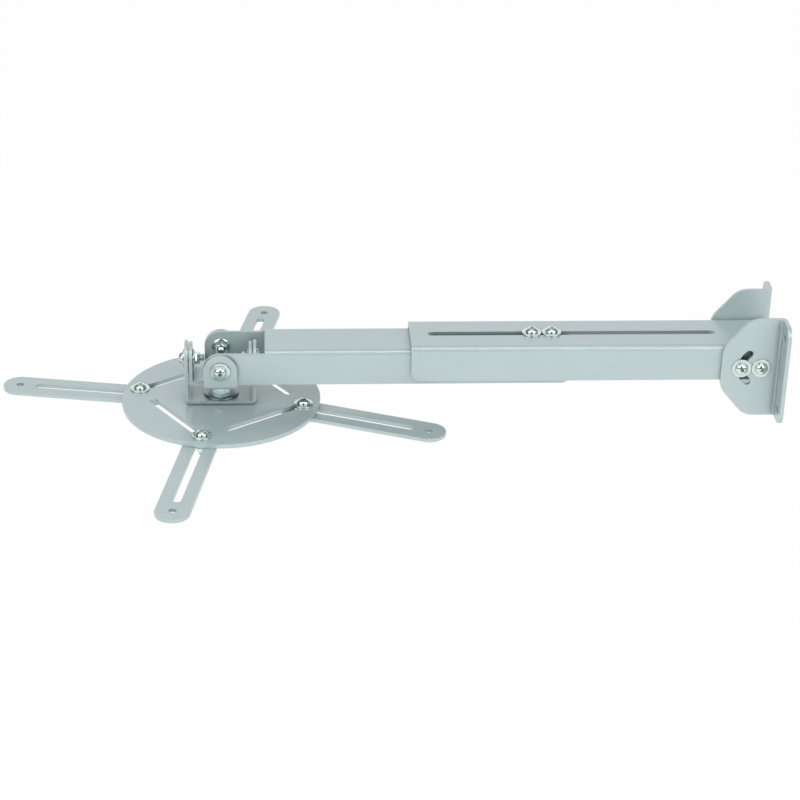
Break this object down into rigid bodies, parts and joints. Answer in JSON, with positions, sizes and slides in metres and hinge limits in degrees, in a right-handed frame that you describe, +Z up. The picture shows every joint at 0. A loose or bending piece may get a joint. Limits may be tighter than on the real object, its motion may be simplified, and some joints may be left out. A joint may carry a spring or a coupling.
{
  "type": "projector mount",
  "caption": "Projector mount for a wall or ceiling: folded side brackets, a telescopic channel arm with a tilt lock, a gimbal and a slotted disc with sliding, swinging arms.",
  "frame": {"origin": "middle of the four wall holes, on the wall face of the flanges", "axes": "+X points into the wall, along the arm; +Y to the back of the pictured view; +Z up"},
  "size_m": [0.5879, 0.3419, 0.0909],
  "materials": {
    "silver_paint": "satin",
    "zinc": "bright zinc plate"
  },
  "bodies": {
    "wall_mount": {"wall_bracket_front": "silver_paint", "wall_bracket_back": "silver_paint"},
    "outer_arm": {"outer_channel": "silver_paint", "tilt_pivot_front_screw": "zinc", "tilt_pivot_front_washer": "zinc", "tilt_pivot_front_nut": "zinc", "tilt_pivot_back_screw": "zinc", "tilt_pivot_back_washer": "zinc", "tilt_pivot_back_nut": "zinc", "tilt_lock_front_screw": "zinc", "tilt_lock_front_washer": "zinc", "tilt_lock_front_nut": "zinc", "tilt_lock_back_screw": "zinc", "tilt_lock_back_washer": "zinc", "tilt_lock_back_nut": "zinc"},
    "inner_arm": {"inner_channel": "silver_paint", "length_lock_1_screw": "zinc", "length_lock_1_washer": "zinc", "length_lock_1_nut": "zinc", "length_lock_2_screw": "zinc", "length_lock_2_washer": "zinc", "length_lock_2_nut": "zinc", "length_lock_1_spacer": "zinc", "length_lock_2_spacer": "zinc"},
    "cross": {"cross_bracket": "silver_paint", "pitch_front_screw": "zinc", "pitch_front_washer": "zinc", "pitch_front_nut": "zinc", "pitch_back_screw": "zinc", "pitch_back_washer": "zinc", "pitch_back_nut": "zinc"},
    "base": {"base_bracket": "silver_paint", "roll_left_screw": "zinc", "roll_left_washer": "zinc", "roll_left_nut": "zinc", "roll_right_screw": "zinc", "roll_right_washer": "zinc", "roll_right_nut": "zinc"},
    "turntable": {"disc": "silver_paint", "swivel_bolt": "zinc", "swivel_washer": "zinc", "swivel_top_washer": "zinc", "swivel_nut": "zinc"},
    "clamp_rear": {"clamp_rear_screw": "zinc", "clamp_rear_washer": "zinc"},
    "swing_rear": {"clamp_rear_nut": "zinc"},
    "reach_rear": {"arm_rear": "silver_paint"},
    "clamp_left": {"clamp_left_screw": "zinc", "clamp_left_washer": "zinc"},
    "swing_left": {"clamp_left_nut": "zinc"},
    "reach_left": {"arm_left": "silver_paint"},
    "clamp_front": {"clamp_front_screw": "zinc", "clamp_front_washer": "zinc"},
    "swing_front": {"clamp_front_nut": "zinc"},
    "reach_front": {"arm_front": "silver_paint"},
    "clamp_right": {"clamp_right_screw": "zinc", "clamp_right_washer": "zinc"},
    "swing_right": {"clamp_right_nut": "zinc"},
    "reach_right": {"arm_right": "silver_paint"}
  },
  "joints": [
    {"name": "arm_tilt", "type": "hinge", "parent": "wall_mount", "child": "outer_arm", "pos_m": [-0.016, 0, 0], "axis": [0, 1, 0], "range_deg": [-45, 45]},
    {"name": "arm_extend", "type": "slide", "parent": "outer_arm", "child": "inner_arm", "axis": [-1, 0, 0], "range_m": [-0.118, 0.075]},
    {"name": "pitch", "type": "hinge", "parent": "inner_arm", "child": "cross", "pos_m": [-0.421, 0, -0.0025], "axis": [0, 1, 0], "range_deg": [-2, 90]},
    {"name": "roll", "type": "hinge", "parent": "cross", "child": "base", "pos_m": [-0.421, 0, -0.0025], "axis": [1, 0, 0], "range_deg": [-15, 15]},
    {"name": "disc_swivel", "type": "hinge", "parent": "base", "child": "turntable", "pos_m": [-0.421, 0, -0.03575], "axis": [0, 0, 1], "continuous": true},
    {"name": "clamp_slide_rear", "type": "slide", "parent": "turntable", "child": "clamp_rear", "axis": [0.5561, -0.8311, 0], "range_m": [0, 0.04]},
    {"name": "arm_swing_rear", "type": "hinge", "parent": "clamp_rear", "child": "swing_rear", "pos_m": [-0.40762, 0.06187, -0.0393], "axis": [0, 0, 1], "range_deg": [-65, 65]},
    {"name": "arm_reach_rear", "type": "slide", "parent": "swing_rear", "child": "reach_rear", "axis": [0.2045, 0.9789, 0], "range_m": [-0.026, 0.0131]},
    {"name": "clamp_slide_left", "type": "slide", "parent": "turntable", "child": "clamp_left", "axis": [0.8311, 0.5561, 0], "range_m": [0, 0.04]},
    {"name": "arm_swing_left", "type": "hinge", "parent": "clamp_left", "child": "swing_left", "pos_m": [-0.48287, 0.01338, -0.0393], "axis": [0, 0, 1], "range_deg": [-65, 65]},
    {"name": "arm_reach_left", "type": "slide", "parent": "swing_left", "child": "reach_left", "axis": [-0.9851, 0.1719, 0], "range_m": [-0.026, 0.0138]},
    {"name": "clamp_slide_front", "type": "slide", "parent": "turntable", "child": "clamp_front", "axis": [-0.5561, 0.8311, 0], "range_m": [0, 0.04]},
    {"name": "arm_swing_front", "type": "hinge", "parent": "clamp_front", "child": "swing_front", "pos_m": [-0.43438, -0.06187, -0.0393], "axis": [0, 0, 1], "range_deg": [-65, 65]},
    {"name": "arm_reach_front", "type": "slide", "parent": "swing_front", "child": "reach_front", "axis": [-0.1788, -0.9839, 0], "range_m": [-0.026, 0.0056]},
    {"name": "clamp_slide_right", "type": "slide", "parent": "turntable", "child": "clamp_right", "axis": [-0.8311, -0.5561, 0], "range_m": [0, 0.04]},
    {"name": "arm_swing_right", "type": "hinge", "parent": "clamp_right", "child": "swing_right", "pos_m": [-0.35913, -0.01338, -0.0393], "axis": [0, 0, 1], "range_deg": [-65, 65]},
    {"name": "arm_reach_right", "type": "slide", "parent": "swing_right", "child": "reach_right", "axis": [0.9304, -0.3665, 0], "range_m": [-0.026, 0.0079]}
  ]
}
